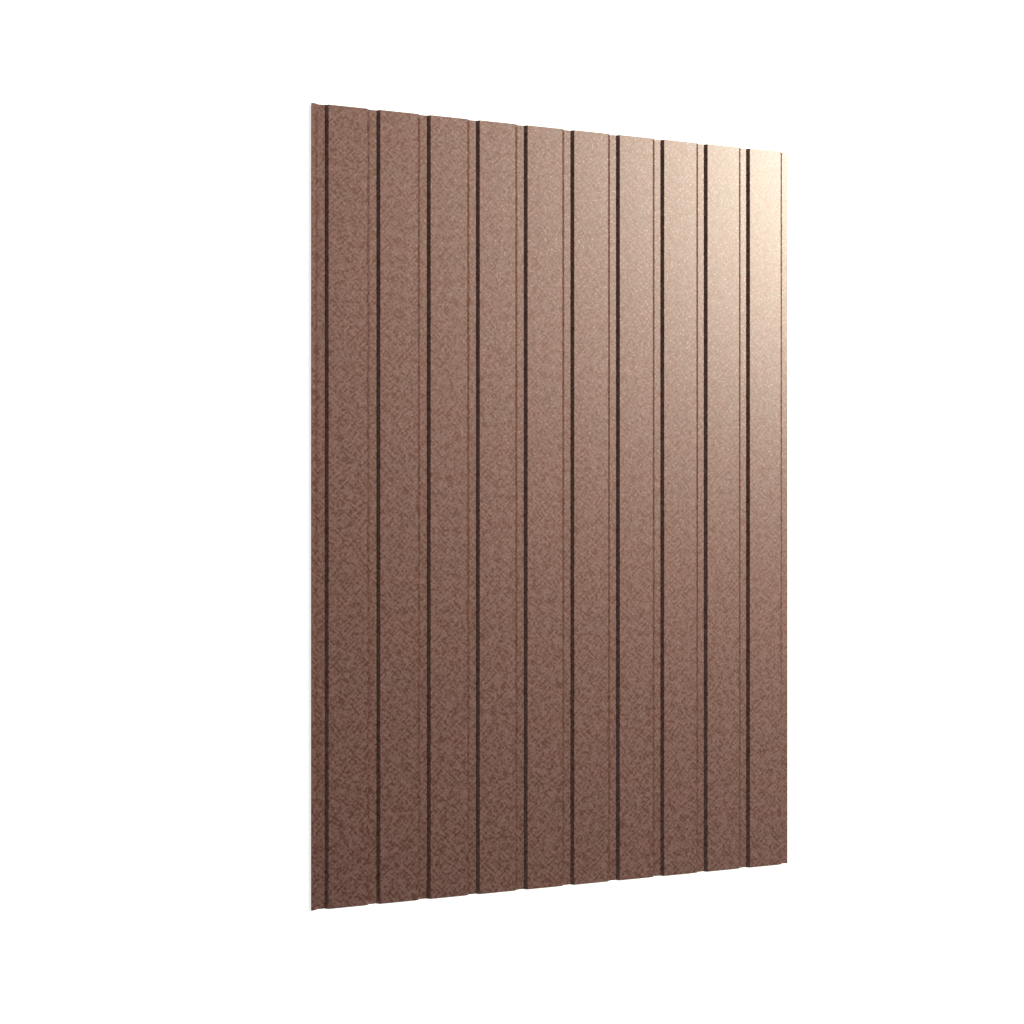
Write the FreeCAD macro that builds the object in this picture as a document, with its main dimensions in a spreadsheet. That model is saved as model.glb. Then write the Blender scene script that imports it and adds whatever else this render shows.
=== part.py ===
import FreeCAD, Part
import math
import os

import Sketcher

# A profiled steel roofing sheet: one rolled strip with ten shallow trapezoidal grooves.
# It lies with its painted face up and its groove floors on the ground. X runs across the
# width and Y along the length. The origin is the middle of the underside.

NODE = "roofing_sheet"

# Driving dimensions in millimetres, and the wall angle in degrees. Widths across the section
# are measured on the painted face, between the sharp corners that the bends round off.
SIZES = {
    "sheet_length": 1750.0,
    "steel_thickness": 0.5,
    "groove_pitch": 115.0,
    "groove_count": 10,
    "groove_depth": 6.0,
    "groove_mouth": 29.2,
    "wall_angle": 42.0,
    "bend_radius": 1.0,
    "side_flange": 8.8,
    "lap_floor": 16.0,
}

# What a bend takes from the flat beside it, on the face outside the bend and the one inside.
OUTER_SETBACK = "(Sizes.bend_radius + Sizes.steel_thickness) * tan(Sizes.wall_angle / 2)"
INNER_SETBACK = "Sizes.bend_radius * tan(Sizes.wall_angle / 2)"
WALL_RUN = "Sizes.groove_depth / tan(Sizes.wall_angle)"

# The flats that stay between the bends, on the painted face.
FLANGE_FLAT = f"Sizes.side_flange - {OUTER_SETBACK}"
WALL_FLAT = f"Sizes.groove_depth / sin(Sizes.wall_angle) - {OUTER_SETBACK} - {INNER_SETBACK}"
FLOOR_FLAT = f"Sizes.groove_mouth - 2 * {WALL_RUN} - 2 * {INNER_SETBACK}"
RIDGE_FLAT = f"Sizes.groove_pitch - Sizes.side_flange - Sizes.groove_mouth - {OUTER_SETBACK}"
LAP_FLAT = f"Sizes.lap_floor - {INNER_SETBACK}"

RIDGE_HEIGHT = "Sizes.groove_depth + Sizes.steel_thickness"
LAP_WIDTH = f"(Sizes.side_flange + {WALL_RUN} + Sizes.lap_floor)"
PATTERN_WIDTH = "Sizes.groove_pitch * Sizes.groove_count"
FIRST_EDGE = f"-({PATTERN_WIDTH} + {LAP_WIDTH}) / 2"
LAP_EDGE = f"({PATTERN_WIDTH} - {LAP_WIDTH}) / 2"

# Turns of the strip at a bend, and the ends of an edge in a sketch.
DOWN, UP = -1, 1
START, END, CENTRE = 1, 2, 3
ORIGIN = (-1, 1)


def make_size_sheet(doc):
    """Puts the driving dimensions into a spreadsheet, one named cell each."""
    sheet = doc.addObject("Spreadsheet::Sheet", "Sizes")
    for row, (alias, value) in enumerate(SIZES.items(), start=1):
        sheet.set(f"A{row}", alias)
        sheet.set(f"B{row}", str(value))
        sheet.setAlias(f"B{row}", alias)
    doc.recompute()


def section_sketch(body, name):
    """An empty sketch on the plane across the sheet, with Z up."""
    sketch = body.newObject("Sketcher::SketchObject", name)
    plane = next(f for f in body.Origin.OriginFeatures if f.Role == "XZ_Plane")
    sketch.AttachmentSupport = [(plane, "")]
    sketch.MapMode = "FlatFace"
    return sketch


def bind(sketch, name, expression, kind, *places):
    """Adds a named constraint whose value follows an expression of the sizes."""
    value = sketch.evalExpression(expression)
    if kind == "Angle":
        value = math.radians(value)
    index = sketch.addConstraint(Sketcher.Constraint(kind, *places, value))
    sketch.renameConstraint(index, name)
    sketch.setExpression(f"Constraints.{name}", expression)


def bend_radius(turn, below):
    """A bend's radius on the face that lies `below` under the painted one."""
    inside = SIZES["bend_radius"]
    return inside + below if turn == UP else inside + SIZES["steel_thickness"] - below


def unit(degrees):
    """The unit vector at an angle from the X axis."""
    return FreeCAD.Vector(math.cos(math.radians(degrees)), math.sin(math.radians(degrees)), 0)


def face_edges(start, flats, turns, below):
    """One face of the strip as straight flats joined by tangent arcs."""
    heading, point, edges = 0.0, start - unit(90) * below, []
    for flat, turn in zip(flats, turns + [None]):
        flat_end = point + unit(heading) * flat
        edges.append(Part.LineSegment(point, flat_end))
        if turn is None:
            return edges
        radius = bend_radius(turn, below)
        centre = flat_end + unit(heading + 90) * turn * radius
        circle = Part.Circle(centre, FreeCAD.Vector(0, 0, 1), radius)
        first, last = heading - turn * 90, heading - turn * 90 + turn * SIZES["wall_angle"]
        low, high = sorted((first, last))
        edges.append(Part.ArcOfCircle(circle, math.radians(low), math.radians(high)))
        point = centre + unit(last) * radius
        heading += turn * SIZES["wall_angle"]


def join_edges(sketch, first, turns):
    """Makes each bend of a face tangent to the flats on both sides of it."""
    for index, turn in enumerate(turns):
        flat, bend, next_flat = range(first + 2 * index, first + 2 * index + 3)
        near, far = (START, END) if turn == UP else (END, START)
        sketch.addConstraint(Sketcher.Constraint("Tangent", flat, END, bend, near))
        sketch.addConstraint(Sketcher.Constraint("Tangent", bend, far, next_flat, START))


def size_flats(sketch, flats, turns, under):
    """Gives the painted face its lengths and slopes, and keeps the under face parallel to it."""
    for index, length in enumerate(flats):
        line, slope = 2 * index, sum(turns[:index])
        bind(sketch, f"Flat{index}", length, "Distance", line)
        sketch.addConstraint(Sketcher.Constraint("Parallel", line, under + line))
        if slope == 0:
            sketch.addConstraint(Sketcher.Constraint("Horizontal", line))
        else:
            bind(sketch, f"Slope{index}", f"{slope} * Sizes.wall_angle", "Angle", line)


def size_bends(sketch, turns, under):
    """Gives each bend its inside radius, round one centre for both faces."""
    for index, turn in enumerate(turns):
        top_bend, under_bend = 2 * index + 1, under + 2 * index + 1
        inside = top_bend if turn == UP else under_bend
        bind(sketch, f"Bend{index}", "Sizes.bend_radius", "Radius", inside)
        sketch.addConstraint(Sketcher.Constraint("Coincident", top_bend, CENTRE, under_bend, CENTRE))


def close_end(sketch, top_edge, under_edge, corner):
    """Draws the cut edge between the two faces at one side of the strip, and returns its index."""
    top_point = sketch.getPoint(top_edge, corner)
    under_point = sketch.getPoint(under_edge, corner)
    cut = sketch.addGeometry(Part.LineSegment(top_point, under_point))
    sketch.addConstraint(Sketcher.Constraint("Coincident", cut, START, top_edge, corner))
    sketch.addConstraint(Sketcher.Constraint("Coincident", cut, END, under_edge, corner))
    sketch.addConstraint(Sketcher.Constraint("Vertical", cut))
    return cut


def draw_strip(sketch, left_edge, flats, turns):
    """Draws the section of a bent strip that starts level at ridge height."""
    start = FreeCAD.Vector(sketch.evalExpression(left_edge), sketch.evalExpression(RIDGE_HEIGHT), 0)
    lengths = [sketch.evalExpression(flat) for flat in flats]
    top_edges = face_edges(start, lengths, turns, 0)
    under_edges = face_edges(start, lengths, turns, SIZES["steel_thickness"])
    under = len(top_edges)
    sketch.addGeometry(top_edges + under_edges)
    join_edges(sketch, 0, turns)
    join_edges(sketch, under, turns)
    first_cut = close_end(sketch, 0, under, START)
    close_end(sketch, under - 1, 2 * under - 1, END)
    size_bends(sketch, turns, under)
    size_flats(sketch, flats, turns, under)
    bind(sketch, "Thickness", "Sizes.steel_thickness", "Distance", first_cut)
    bind(sketch, "LeftEdge", left_edge, "DistanceX", *ORIGIN, 0, START)
    bind(sketch, "Height", RIDGE_HEIGHT, "DistanceY", *ORIGIN, 0, START)


def pad_along_sheet(body, sketch, name):
    """Runs a section along the whole length, evenly to both sides of the origin."""
    pad = body.newObject("PartDesign::Pad", name)
    pad.Profile = sketch
    pad.SideType = "Symmetric"
    pad.setExpression("Length", "Sizes.sheet_length")
    return pad


def make_roofing_sheet(doc):
    """The sheet: one pitch patterned across the width, then the lap along its right side."""
    body = doc.addObject("PartDesign::Body", "RoofingSheet")
    body.Label = NODE
    pitch_section = section_sketch(body, "PitchSection")
    pitch_flats = [FLANGE_FLAT, WALL_FLAT, FLOOR_FLAT, WALL_FLAT, RIDGE_FLAT]
    draw_strip(pitch_section, FIRST_EDGE, pitch_flats, [DOWN, UP, UP, DOWN])
    first_pitch = pad_along_sheet(body, pitch_section, "FirstPitch")

    all_pitches = body.newObject("PartDesign::LinearPattern", "AllPitches")
    all_pitches.Originals = [first_pitch]
    all_pitches.Direction = (pitch_section, ["H_Axis"])
    all_pitches.Mode = "Spacing"
    all_pitches.setExpression("Offset", "Sizes.groove_pitch")
    all_pitches.setExpression("Occurrences", "Sizes.groove_count")
    body.Tip = all_pitches
    doc.recompute()

    lap_section = section_sketch(body, "LapSection")
    draw_strip(lap_section, LAP_EDGE, [FLANGE_FLAT, WALL_FLAT, LAP_FLAT], [DOWN, UP])
    body.Tip = pad_along_sheet(body, lap_section, "SideLap")
    doc.recompute()
    return body


def check(doc, piece):
    """Stops if anything in the document failed, or if the sheet isn't one sound solid."""
    for item in doc.Objects:
        if "Invalid" in item.State or "Error" in item.State:
            raise RuntimeError(f"{item.Name} failed: {item.State}")
    if piece.Shape.isNull() or not piece.Shape.isValid() or len(piece.Shape.Solids) != 1:
        raise RuntimeError(f"{piece.Label} isn't one sound solid")


def main():
    doc = FreeCAD.newDocument("RoofingSheet")
    make_size_sheet(doc)
    sheet = make_roofing_sheet(doc)
    check(doc, sheet)
    os.makedirs("parts", exist_ok=True)
    sheet.Shape.exportStep(f"parts/{sheet.Label}.step")
    box = sheet.Shape.BoundBox
    print(f"{sheet.Label}: {box.XLength:.2f} x {box.YLength:.2f} x {box.ZLength:.2f} mm")
    print(f"box from ({box.XMin:.2f}, {box.YMin:.2f}, {box.ZMin:.2f})")
    print(f"volume {sheet.Shape.Volume / 1000:.1f} cm3, {len(sheet.Shape.Faces)} faces")


main()
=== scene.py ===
# %% [markdown]
# # A profiled steel roofing sheet
#
# The real sheet starts as a flat steel strip that is galvanised, painted and printed on a coil,
# and only then rolled to its profile and cut to length. It is one piece: no screws, no seams.
# Here it lies with its painted face up, and the camera looks down on it.
#
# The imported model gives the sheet's place and outer size. Its bends have five facets each, and it
# has no map for a printed pattern. So this lesson bends the same strip again, smoother, and maps
# it as it goes.

import math
from collections import namedtuple

import bmesh
import bpy
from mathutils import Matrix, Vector


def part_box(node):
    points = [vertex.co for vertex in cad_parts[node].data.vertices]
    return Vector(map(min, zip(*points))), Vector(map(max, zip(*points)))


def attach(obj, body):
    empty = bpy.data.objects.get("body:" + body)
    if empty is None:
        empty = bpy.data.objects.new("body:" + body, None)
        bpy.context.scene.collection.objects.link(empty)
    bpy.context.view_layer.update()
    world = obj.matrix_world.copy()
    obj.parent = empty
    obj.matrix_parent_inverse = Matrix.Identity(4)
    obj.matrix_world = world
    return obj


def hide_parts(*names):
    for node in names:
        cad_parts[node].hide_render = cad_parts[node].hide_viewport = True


MM = 0.001

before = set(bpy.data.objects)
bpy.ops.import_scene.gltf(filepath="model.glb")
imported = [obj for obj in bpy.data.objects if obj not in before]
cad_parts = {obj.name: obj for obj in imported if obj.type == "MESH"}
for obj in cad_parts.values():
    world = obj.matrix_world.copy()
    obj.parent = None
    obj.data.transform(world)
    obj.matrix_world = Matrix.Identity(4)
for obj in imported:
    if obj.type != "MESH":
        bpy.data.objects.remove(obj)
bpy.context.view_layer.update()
low, high = (Vector(corner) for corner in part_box("roofing_sheet"))
print("sheet in mm:", [round(side / MM, 1) for side in high - low])

# %% [markdown]
# ## The rolled section
#
# A roll former bends the strip at marked lines and leaves flats between them, so the section
# comes down to a few sizes: how wide the flats are, how steep the walls and how tight the bends.
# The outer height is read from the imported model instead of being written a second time.

# %% Sizes of the section
STEEL_THICKNESS = 0.5 * MM
GROOVE_PITCH = 115.0 * MM
GROOVE_COUNT = 10
GROOVE_MOUTH = 29.2 * MM
WALL_ANGLE = math.radians(42.0)
BEND_RADIUS = 1.0 * MM
SIDE_FLANGE = 8.8 * MM
LAP_FLOOR = 16.0 * MM

GROOVE_DEPTH = high.z - low.z - STEEL_THICKNESS
WALL_RUN = GROOVE_DEPTH / math.tan(WALL_ANGLE)

# A bend eats into the flats on both sides of it, more on its outside than on its inside.
OUTER_SETBACK = (BEND_RADIUS + STEEL_THICKNESS) * math.tan(WALL_ANGLE / 2)
INNER_SETBACK = BEND_RADIUS * math.tan(WALL_ANGLE / 2)

flange = SIDE_FLANGE - OUTER_SETBACK
wall = GROOVE_DEPTH / math.sin(WALL_ANGLE) - OUTER_SETBACK - INNER_SETBACK
groove_floor = GROOVE_MOUTH - 2 * WALL_RUN - 2 * INNER_SETBACK
ridge = GROOVE_PITCH - GROOVE_MOUTH - 2 * OUTER_SETBACK
lap_floor = LAP_FLOOR - INNER_SETBACK
flats = {"ridge": ridge, "wall": wall, "groove floor": groove_floor}
print("flats in mm:", {name: round(width / MM, 2) for name, width in flats.items()})

# %% [markdown]
# ## Walking along the strip
#
# The section is drawn the way it is rolled: go straight over each flat, then turn over each
# bend. A curve object could sweep a section too, but a walk also measures the strip as it goes,
# and that length is the sheet's flat size and the ground for its UV map. Repeating one groove
# with an Array modifier would leave a seam at every copy.

# %% Walk along the strip
DOWN, UP = -1, 1
BEND_STEPS = 8

groove = [(wall, UP), (groove_floor, UP), (wall, DOWN), (ridge, DOWN)]
strip = [(flange, DOWN)] + groove * GROOVE_COUNT + [(wall, UP), (lap_floor, None)]

# A point of the painted face, the way out of the face there, and the length walked so far.
Station = namedtuple("Station", "point out walked")


def along(heading):
    """The way along a strip that runs at this angle."""
    return Vector((math.cos(heading), math.sin(heading)))


def out_of(heading):
    """The way out of the painted face of a strip that runs at this angle."""
    return Vector((-math.sin(heading), math.cos(heading)))


def walk_strip(flats_and_turns):
    """The stations of the whole section, from the sheet's left edge to its right one."""
    heading, walked = 0.0, 0.0
    point = Vector((low.x, high.z))
    passed = [Station(point, out_of(heading), walked)]
    for flat, turn in flats_and_turns:
        point = point + flat * along(heading)
        walked += flat
        passed.append(Station(point, out_of(heading), walked))
        if turn is None:
            break
        radius = BEND_RADIUS if turn == UP else BEND_RADIUS + STEEL_THICKNESS
        centre = point + turn * radius * out_of(heading)
        for step in range(1, BEND_STEPS + 1):
            out = out_of(heading + turn * WALL_ANGLE * step / BEND_STEPS)
            point = centre - turn * radius * out
            walked += radius * WALL_ANGLE / BEND_STEPS
            passed.append(Station(point, out, walked))
        heading += turn * WALL_ANGLE
    return passed


stations = walk_strip(strip)
last = len(stations) - 1
print(len(stations), "points; width walked in mm:", round(stations[last].walked / MM, 1))
print("right edge in mm:", round(stations[last].point.x / MM, 2), "packed:", round(high.x / MM, 2))

# %% [markdown]
# ## Faces with a place on the flat strip
#
# The UV map is the flat strip itself, in metres, so that a pattern printed on it runs on through
# the bends as on the coil. Each face also gets a slot for its material. The bends have one of
# their own, because the coat changes where it is bent.

# %% Add one face
PAINTED, BENT, BACK, CUT = 0, 1, 2, 3
LEAST_TURN = math.radians(0.5)


def slot_after(i):
    """The slot of the painted face from a station to the next: bent, if the way out turns."""
    turn = stations[i + 1].out - stations[i].out
    return BENT if turn.length > LEAST_TURN else PAINTED


def add_quad(bm, uv_layer, corners, places, slot):
    """Adds one quad with its UV coordinates and its material slot."""
    face = bm.faces.new(corners)
    face.material_index = slot
    face.smooth = slot != CUT
    for loop, place in zip(face.loops, places):
        loop[uv_layer].uv = place


bent_strips = sum(slot_after(i) == BENT for i in range(last))
print("bends:", bent_strips // BEND_STEPS, "with", BEND_STEPS, "facets each")

# %% [markdown]
# ## One mesh for the sheet
#
# The section is repeated along the length and joined with quads: the painted face above, the
# back below it, and a narrow band of cut steel all the way round. A Solidify modifier could add
# the back, but then the band and the back would have no slots and no map of their own.

# %% Build the sheet
ROWS = 34


def row_of_points(bm, y, depth):
    """The section's points at one place along the sheet, this deep under the painted face."""
    points = [station.point - station.out * depth for station in stations]
    return [bm.verts.new((point.x, y, point.y)) for point in points]


def add_length(bm, uv_layer, ys, tops, unders):
    """The painted face, the back and the two side edges between two rows of points."""
    (y0, y1), (top0, top1), (under0, under1) = ys, tops, unders
    for i in range(last):
        u0, u1 = stations[i].walked, stations[i + 1].walked
        places = [(u0, y0), (u1, y0), (u1, y1), (u0, y1)]
        painted = (top0[i], top0[i + 1], top1[i + 1], top1[i])
        back = (under1[i], under1[i + 1], under0[i + 1], under0[i])
        add_quad(bm, uv_layer, painted, places, slot_after(i))
        add_quad(bm, uv_layer, back, places[::-1], BACK)
    for i, order in ((0, 1), (last, -1)):
        corners = [top0[i], top1[i], under1[i], under0[i]][::order]
        places = [(0, y0), (0, y1), (STEEL_THICKNESS, y1), (STEEL_THICKNESS, y0)][::order]
        add_quad(bm, uv_layer, corners, places, CUT)


def add_end(bm, uv_layer, top, under, order):
    """The sheared edge across one end of the sheet."""
    for i in range(last):
        u0, u1 = stations[i].walked, stations[i + 1].walked
        corners = [top[i + 1], top[i], under[i], under[i + 1]][::order]
        places = [(u1, 0), (u0, 0), (u0, STEEL_THICKNESS), (u1, STEEL_THICKNESS)][::order]
        add_quad(bm, uv_layer, corners, places, CUT)


def build_sheet():
    """The sheet's mesh: painted face, back and cut edges."""
    bm = bmesh.new()
    uv_layer = bm.loops.layers.uv.new("Strip")
    ys = [low.y + (high.y - low.y) * row / ROWS for row in range(ROWS + 1)]
    top, under = [], []
    for y in ys:
        top.append(row_of_points(bm, y, 0.0))
        under.append(row_of_points(bm, y, STEEL_THICKNESS))
    for row in range(ROWS):
        pair = slice(row, row + 2)
        add_length(bm, uv_layer, ys[pair], top[pair], under[pair])
    add_end(bm, uv_layer, top[0], under[0], 1)
    add_end(bm, uv_layer, top[-1], under[-1], -1)
    mesh = bpy.data.meshes.new("roofing_sheet_rolled")
    bm.to_mesh(mesh)
    bm.free()
    return mesh


sheet = bpy.data.objects.new("rolled_sheet", build_sheet())
bpy.context.collection.objects.link(sheet)
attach(sheet, "root")
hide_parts("roofing_sheet")
print("sheet mesh:", len(sheet.data.polygons), "faces")

# %% [markdown]
# ## Flats that stay flat, edges that stay sharp
#
# Smooth shading blends the normals of neighbouring faces, which would make the wide flats look
# curved beside their narrow bends. The Weighted Normal modifier lets the large faces win, so the
# flats stay flat and only the bends shade round. The cut edges are marked sharp.

# %% Mark the cut edges and weight the normals
LARGE_FACES_WIN = 100


def sharpen_cut_edges(mesh):
    """Marks every edge of the cut steel as sharp, and returns how many there are."""
    bm = bmesh.new()
    bm.from_mesh(mesh)
    cut_edges = {edge for face in bm.faces if face.material_index == CUT for edge in face.edges}
    for edge in cut_edges:
        edge.smooth = False
    bm.to_mesh(mesh)
    bm.free()
    return len(cut_edges)


print("sharp edges:", sharpen_cut_edges(sheet.data))
weighted = sheet.modifiers.new("Flats win", "WEIGHTED_NORMAL")
weighted.keep_sharp = True
weighted.weight = LARGE_FACES_WIN

# %% [markdown]
# ## Colours and nodes
#
# Colours are written as sRGB hex values, as a colour picker shows them. Blender's shaders work in
# linear light, so one function converts them. A second one adds a node with its settings and
# links, which keeps the materials short.
#
# A Mix node has a pair of inputs for each kind of value, so they go by number: 2 and 3 for plain
# numbers, and 6 and 7 for colours. Input 0 is the share of the second one. A mixed number comes
# out of output 0, and a mixed colour out of output 2.

# %% Helpers for materials
WHITE = "#FFFFFF"
IN_2D = {"noise_dimensions": "2D"}
COLOURS = {"data_type": "RGBA"}


def colour(hex_code):
    """An sRGB hex value as the linear RGBA that Blender's shaders work in."""
    channels = [int(hex_code[i:i + 2], 16) / 255 for i in (1, 3, 5)]
    linear = [c / 12.92 if c <= 0.04045 else ((c + 0.055) / 1.055) ** 2.4 for c in channels]
    return (*linear, 1.0)


def add_node(tree, kind, settings=None, **inputs):
    """Adds a node with its settings and inputs.

    Inputs go by name, or by number as _0. Each is a value or another node's output.
    """
    node = tree.nodes.new(kind)
    for name, value in (settings or {}).items():
        setattr(node, name, value)
    for name, value in inputs.items():
        socket = node.inputs[int(name[1:]) if name[0] == "_" else name.replace("_", " ")]
        if isinstance(value, bpy.types.NodeSocket):
            tree.links.new(value, socket)
        else:
            socket.default_value = value
    return node


def new_material(name):
    """An empty node material and its node tree."""
    material = bpy.data.materials.new(name)
    material.use_nodes = True
    material.node_tree.nodes.clear()
    return material, material.node_tree


print("#808080 in linear light:", round(colour("#808080")[0], 3))

# %% [markdown]
# ## The print
#
# The brown paint is printed with a fine cross-hatch while the strip is still flat. The real
# print is finer than a pixel here, so its strokes are drawn 24 mm long and 5 mm wide, as coarse
# as they need to be to show. An image texture could hold such a print, but it would repeat. Noise
# that is stretched into strokes and laid crosswise never does, and a third, unstretched noise
# breaks the strokes up as the paint's own grain does.

# %% Rule two sets of strokes crosswise
STROKE_LENGTH = 24.0 * MM
STROKE_WIDTH = 5.0 * MM
STROKE_ANGLE = math.radians(45)
PAINT_GRAIN = 5.5 * MM
GRAIN_SHARE = 0.4
ALL_INK, ALL_PAINT = 0.35, 0.64


def strokes(tree, strip_map, angle):
    """One set of short printed strokes that all run at the given angle."""
    turned = add_node(tree, "ShaderNodeMapping", {"vector_type": "TEXTURE"}, Vector=strip_map,
                      Rotation=(0, 0, angle), Scale=(STROKE_LENGTH, STROKE_WIDTH, 1))
    noise = add_node(tree, "ShaderNodeTexNoise", IN_2D, Vector=turned.outputs[0], Scale=1.0,
                     Detail=0.0)
    return noise.outputs["Fac"]


def bare_paint(tree, strip_map):
    """How much paint shows between the strokes, from 0 on a stroke to 1 in a gap."""
    crossed = add_node(tree, "ShaderNodeMix", _0=0.5, _2=strokes(tree, strip_map, STROKE_ANGLE),
                       _3=strokes(tree, strip_map, -STROKE_ANGLE))
    grain = add_node(tree, "ShaderNodeTexNoise", IN_2D, Vector=strip_map, Scale=1 / PAINT_GRAIN,
                     Detail=0.0)
    grained = add_node(tree, "ShaderNodeMix", _0=GRAIN_SHARE, _2=crossed.outputs[0],
                       _3=grain.outputs["Fac"])
    stretched = add_node(tree, "ShaderNodeMapRange", Value=grained.outputs[0],
                         From_Min=ALL_INK, From_Max=ALL_PAINT)
    return stretched.outputs[0]


print("strokes side by side over the strip:", round(stations[last].walked / STROKE_WIDTH))

# %% [markdown]
# ## The lacquered coil coat
#
# Polyester coil coat: brown paint with fine metal flakes, the print, and a clear satin lacquer
# over both, rolled on the flat strip and baked. The flakes give a warm, broad sheen and the
# lacquer a tighter, paler one, which the Principled shader has as a rough metal under a coat. The
# ink is a little glossier than the paint, so the print fades towards the lamp's reflection, where
# the flakes begin to glint. Flakes are far finer than a pixel and are drawn 3.8 mm wide to show.
# Faint red and olive clouds, a few centimetres wide, keep the brown from looking flat.

# %% Mix the colour and the gloss of the coat
PRINT_DARK = "#502514"
PRINT_LIGHT = "#7E5D57"
CLOUD_RED = "#74403A"
CLOUD_OLIVE = "#604636"
CLOUD_SIZE = 60.0 * MM
CLOUD_SHARE = 0.12
ALL_RED, ALL_OLIVE = 0.35, 0.65
INK_ROUGHNESS = 0.589
PAINT_ROUGHNESS = 0.749
FLAKE_ROUGHNESS = 0.52
FLAKE_SIZE = 3.8 * MM
NO_FLAKE, ALL_FLAKE = 0.55, 0.75


def coat_colour(tree, strip_map, paint):
    """The print on the paint, tinted by broad clouds."""
    printed = add_node(tree, "ShaderNodeMix", COLOURS, _0=paint, _6=colour(PRINT_DARK),
                       _7=colour(PRINT_LIGHT))
    noise = add_node(tree, "ShaderNodeTexNoise", IN_2D, Vector=strip_map, Scale=1 / CLOUD_SIZE,
                     Detail=2.0, Roughness=0.5)
    spread = add_node(tree, "ShaderNodeMapRange", Value=noise.outputs["Fac"], From_Min=ALL_RED,
                      From_Max=ALL_OLIVE)
    cloud = add_node(tree, "ShaderNodeMix", COLOURS, _0=spread.outputs[0], _6=colour(CLOUD_RED),
                     _7=colour(CLOUD_OLIVE))
    tinted = add_node(tree, "ShaderNodeMix", COLOURS, _0=CLOUD_SHARE, _6=printed.outputs[2],
                      _7=cloud.outputs[2])
    return tinted.outputs[2]


def coat_roughness(tree, strip_map, paint):
    """Ink, paint and here and there a flake, each with its own gloss."""
    printed = add_node(tree, "ShaderNodeMapRange", Value=paint, To_Min=INK_ROUGHNESS,
                       To_Max=PAINT_ROUGHNESS)
    noise = add_node(tree, "ShaderNodeTexNoise", IN_2D, Vector=strip_map, Scale=1 / FLAKE_SIZE,
                     Detail=0.0)
    flaked = add_node(tree, "ShaderNodeMapRange", Value=noise.outputs["Fac"], From_Min=NO_FLAKE,
                      From_Max=ALL_FLAKE, To_Min=printed.outputs[0], To_Max=FLAKE_ROUGHNESS)
    return flaked.outputs[0]


print("ink in linear light:", [round(c, 3) for c in colour(PRINT_DARK)[:3]])

# %% [markdown]
# ## Lacquer on the flats, crazed lacquer on the bends
#
# Both materials are the same coat. On the flats the lacquer is whole. Where the roll former bends
# the strip, the brittle lacquer crazes and loses its gloss, so no bright line runs along a bend.
# The base has no gloss of its own besides its flakes, because the lacquer has it all.

# %% Coat the painted face
LACQUER_ROUGHNESS = 0.343
LACQUER_IOR = 1.6
POLYESTER_IOR = 1.5
FLAKE_SHARE = 0.92
PRINT_RELIEF = 0.05 * MM
RELIEF_STRENGTH = 0.3
WHOLE, CRAZED = 1.0, 0.0


def printed_coil_coat(name, lacquer):
    """The printed coat under a lacquer of the given weight."""
    material, tree = new_material(name)
    strip_map = add_node(tree, "ShaderNodeUVMap", {"uv_map": "Strip"}).outputs[0]
    paint = bare_paint(tree, strip_map)
    bump = add_node(tree, "ShaderNodeBump", Strength=RELIEF_STRENGTH, Distance=PRINT_RELIEF,
                    Height=paint)
    coat = add_node(tree, "ShaderNodeBsdfPrincipled", Normal=bump.outputs[0],
                    Base_Color=coat_colour(tree, strip_map, paint), Metallic=FLAKE_SHARE,
                    Roughness=coat_roughness(tree, strip_map, paint), IOR=POLYESTER_IOR,
                    Specular_IOR_Level=0.0, Coat_Weight=lacquer,
                    Coat_Roughness=LACQUER_ROUGHNESS, Coat_IOR=LACQUER_IOR)
    add_node(tree, "ShaderNodeOutputMaterial", Surface=coat.outputs[0])
    return material


sheet.data.materials.append(printed_coil_coat("Printed polyester coil coat", WHOLE))
sheet.data.materials.append(printed_coil_coat("Coil coat crazed by bending", CRAZED))
print("coats:", [slot.name for slot in sheet.material_slots])

# %% [markdown]
# ## The back
#
# The back gets only a thin grey epoxy primer, rolled on: matt, slightly streaky along the strip.
# One noise, stretched 400 mm along and 6 mm across, gives the streaks of the roller.

# %% Prime the back
ROLLER_STREAK = 6.0 * MM
STREAK_LENGTH = 400.0 * MM
PRIMER_DARK = "#9B9C98"
PRIMER_LIGHT = "#A9AAA6"
ALL_DARK, ALL_LIGHT = 0.3, 0.7
PRIMER_ROUGHNESS = 0.6
EPOXY_IOR = 1.5


def epoxy_back_coat():
    """The primer of the back."""
    material, tree = new_material("Rolled epoxy back coat")
    strip_map = add_node(tree, "ShaderNodeUVMap", {"uv_map": "Strip"}).outputs[0]
    stretched = add_node(tree, "ShaderNodeMapping", Vector=strip_map,
                         Scale=(1 / ROLLER_STREAK, 1 / STREAK_LENGTH, 1))
    streaks = add_node(tree, "ShaderNodeTexNoise", IN_2D, Vector=stretched.outputs[0], Scale=1.0,
                       Detail=3.0, Roughness=0.6)
    tone = add_node(tree, "ShaderNodeMapRange", Value=streaks.outputs["Fac"], From_Min=ALL_DARK,
                    From_Max=ALL_LIGHT)
    grey = add_node(tree, "ShaderNodeMix", COLOURS, _0=tone.outputs[0], _6=colour(PRIMER_DARK),
                    _7=colour(PRIMER_LIGHT))
    coat = add_node(tree, "ShaderNodeBsdfPrincipled", Base_Color=grey.outputs[2],
                    Roughness=PRIMER_ROUGHNESS, IOR=EPOXY_IOR)
    add_node(tree, "ShaderNodeOutputMaterial", Surface=coat.outputs[0])
    return material


sheet.data.materials.append(epoxy_back_coat())
print("back:", sheet.data.materials[BACK].name)

# %% [markdown]
# ## The cut edges
#
# Slitting and shearing leave galvanised steel bare at the edges, with a fine torn grain: dull
# metal, mottled grey. Metallic 1 with two greys mixed by noise is enough for a band this thin.

# %% Bare the cut edges
SHEAR_GRAIN = 0.2 * MM
STEEL_DARK = "#7F8183"
STEEL_LIGHT = "#B4B6B8"
SHEARED_ROUGHNESS = 0.4


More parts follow.
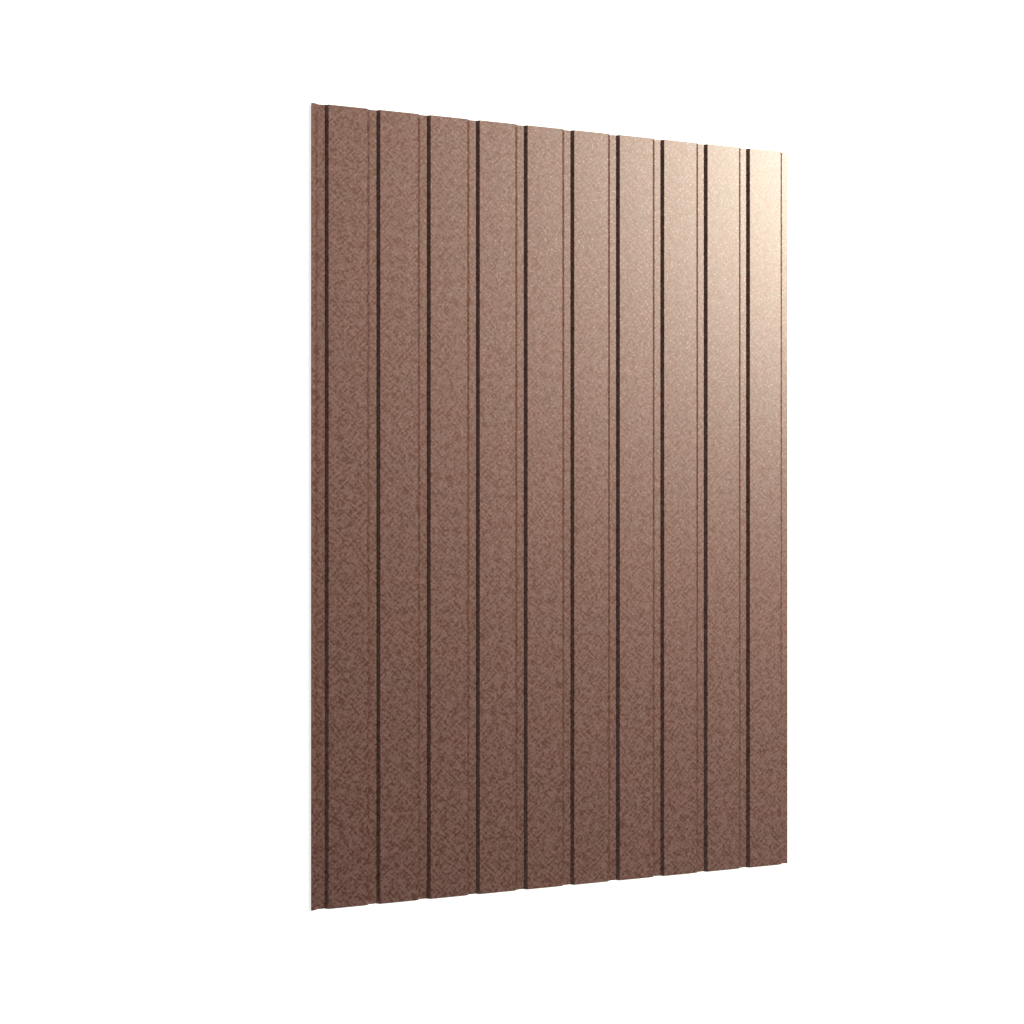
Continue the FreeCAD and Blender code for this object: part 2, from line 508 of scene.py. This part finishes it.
def sheared_galvanised_steel():
    """The bare steel of the edges."""
    material, tree = new_material("Sheared galvanised steel")
    strip_map = add_node(tree, "ShaderNodeUVMap", {"uv_map": "Strip"}).outputs[0]
    torn = add_node(tree, "ShaderNodeTexNoise", IN_2D, Vector=strip_map, Scale=1 / SHEAR_GRAIN,
                    Detail=2.0, Roughness=0.6)
    tone = add_node(tree, "ShaderNodeMix", COLOURS, _0=torn.outputs["Fac"],
                    _6=colour(STEEL_DARK), _7=colour(STEEL_LIGHT))
    steel = add_node(tree, "ShaderNodeBsdfPrincipled", Base_Color=tone.outputs[2], Metallic=1.0,
                     Roughness=SHEARED_ROUGHNESS)
    add_node(tree, "ShaderNodeOutputMaterial", Surface=steel.outputs[0])
    return material


sheet.data.materials.append(sheared_galvanised_steel())
print("edges:", sheet.data.materials[CUT].name)

# %% [markdown]
# ## The floor
#
# The floor is white paper, which a single quad under the sheet shows well enough. What the
# camera, and anything glossy, sees of it gets a plain glow besides, so that it reads as white
# without more light on the sheet, and the soft shadow along the sheet's edge stays.

# %% Lay the floor
FLOOR_SIDE = 80.0
FLOOR_DROP = 0.2 * MM
FLOOR_GLOW = 0.7
PAPER = "#E8E8E8"


def ray_kinds(tree):
    """Two switches: 1 for camera rays, and 1 for rays mirrored by gloss or sent through glass."""
    path = add_node(tree, "ShaderNodeLightPath")
    mirrored = add_node(tree, "ShaderNodeMath", {"operation": "MAXIMUM"},
                        _0=path.outputs["Is Glossy Ray"], _1=path.outputs["Is Transmission Ray"])
    return path.outputs["Is Camera Ray"], mirrored.outputs[0]


def white_paper():
    """Paper that glows a little for the camera and in reflections."""
    material, tree = new_material("White paper")
    camera_ray, mirrored_ray = ray_kinds(tree)
    seen = add_node(tree, "ShaderNodeMath", {"operation": "MAXIMUM"}, _0=camera_ray,
                    _1=mirrored_ray)
    strength = add_node(tree, "ShaderNodeMath", {"operation": "MULTIPLY"}, _0=seen.outputs[0],
                        _1=FLOOR_GLOW)
    paper = add_node(tree, "ShaderNodeBsdfDiffuse", Color=colour(PAPER))
    glow = add_node(tree, "ShaderNodeEmission", Color=colour(WHITE), Strength=strength.outputs[0])
    both = add_node(tree, "ShaderNodeAddShader", _0=paper.outputs[0], _1=glow.outputs[0])
    add_node(tree, "ShaderNodeOutputMaterial", Surface=both.outputs[0])
    return material


floor_mesh = bpy.data.meshes.new("paper_floor")
half = FLOOR_SIDE / 2
floor_corners = [(-half, -half, 0), (half, -half, 0), (half, half, 0), (-half, half, 0)]
floor_mesh.from_pydata(floor_corners, [], [(0, 1, 2, 3)])
floor_mesh.materials.append(white_paper())
floor = bpy.data.objects.new("paper_floor", floor_mesh)
floor.location.z = low.z - FLOOR_DROP
bpy.context.collection.objects.link(floor)
print("floor lies at", round(floor.location.z / MM, 1), "mm")

# %% [markdown]
# ## The plain studio
#
# Everything above the floor is the world. The camera sees it white, and the sheet gets a dim,
# even light from it: a Light Path node tells the two apart. The light grows towards the right, as
# from a pale wall there. That is what lights the groove walls that face right and leaves the
# others dark. Low down, mirrored rays meet a white backdrop too, as they would in a studio.

# %% Surround the sheet with a plain studio
STUDIO_LEVEL = 0.218
SIDE_LEVEL = 0.712
SIDE_START = 0.12
BACKDROP_TOP = 0.06
BACKDROP_FADE = 0.05

world = bpy.data.worlds.new("Plain studio")
bpy.context.scene.world = world
world.use_nodes = True
sky_tree = world.node_tree
sky_tree.nodes.clear()
camera_ray, mirrored_ray = ray_kinds(sky_tree)
sky_map = add_node(sky_tree, "ShaderNodeTexCoord")
direction = add_node(sky_tree, "ShaderNodeSeparateXYZ", Vector=sky_map.outputs["Generated"])
room = add_node(sky_tree, "ShaderNodeMapRange", Value=direction.outputs["X"],
                From_Min=SIDE_START, To_Min=STUDIO_LEVEL, To_Max=SIDE_LEVEL)
backdrop = add_node(sky_tree, "ShaderNodeMapRange", Value=direction.outputs["Z"],
                    From_Min=BACKDROP_TOP, From_Max=BACKDROP_TOP + BACKDROP_FADE, To_Min=1.0,
                    To_Max=0.0)
mirrored = add_node(sky_tree, "ShaderNodeMath", {"operation": "MULTIPLY"},
                    _0=backdrop.outputs[0], _1=mirrored_ray)
seen = add_node(sky_tree, "ShaderNodeMath", {"operation": "MAXIMUM"}, _0=camera_ray,
                _1=mirrored.outputs[0])
level = add_node(sky_tree, "ShaderNodeMapRange", Value=seen.outputs[0], To_Min=room.outputs[0],
                 To_Max=1.0)
sky = add_node(sky_tree, "ShaderNodeBackground", Color=colour(WHITE), Strength=level.outputs[0])
add_node(sky_tree, "ShaderNodeOutputWorld", Surface=sky.outputs[0])
print("studio light: from", STUDIO_LEVEL, "to", SIDE_LEVEL, "on the right")

# %% [markdown]
# ## One long soft lamp
#
# A single long strip light hangs high beyond the sheet's far right corner, close to where a
# mirror lying there would show it to the camera. Its broad reflection pales that corner and fades
# across the sheet, and the walls that face away from it stay dark, which is what makes the
# shallow grooves read.

# %% Hang the strip light
LAMP_PLACE = Vector((10.06, 5.62, 12.65))
LAMP_LENGTH = 6.5
LAMP_WIDTH = 0.3
LAMP_WATTS = 3690.0
LAMP_COLOUR = "#FFFFEA"

lamp = bpy.data.lights.new("Strip light", "AREA")
lamp.shape = "RECTANGLE"
lamp.size = LAMP_LENGTH
lamp.size_y = LAMP_WIDTH
lamp.energy = LAMP_WATTS
lamp.color = colour(LAMP_COLOUR)[:3]
strip_light = bpy.data.objects.new("Strip light", lamp)
strip_light.location = LAMP_PLACE
strip_light.rotation_euler = (-LAMP_PLACE).to_track_quat("-Z", "Y").to_euler()
bpy.context.collection.objects.link(strip_light)
print("lamp is", round(LAMP_PLACE.length, 1), "m from the sheet")

# %% [markdown]
# ## The camera
#
# The grooves run parallel in the picture, so the camera looks square to them: it is only turned
# to the right. How fast their spacing narrows gives the turn and the distance. The small shift
# puts the sheet at the height that it has in the picture, without tilting the camera.

# %% Place the camera
CAMERA_TURN = math.radians(19.10)
CAMERA_PLACE = Vector((-1.106, -0.0271, 2.8243))
PICTURE_SIDE = 1024
FOCAL_PIXELS = 1307.6
HORIZON_DROP = 7.2

camera = bpy.data.cameras.new("Camera")
camera.lens = camera.sensor_width * FOCAL_PIXELS / PICTURE_SIDE
camera.shift_y = HORIZON_DROP / PICTURE_SIDE
camera_object = bpy.data.objects.new("Camera", camera)
camera_object.location = CAMERA_PLACE
camera_object.rotation_euler = (0, -CAMERA_TURN, 0)
bpy.context.collection.objects.link(camera_object)
bpy.context.scene.camera = camera_object
bpy.context.scene.view_settings.view_transform = "Standard"
print("lens:", round(camera.lens, 1), "mm")
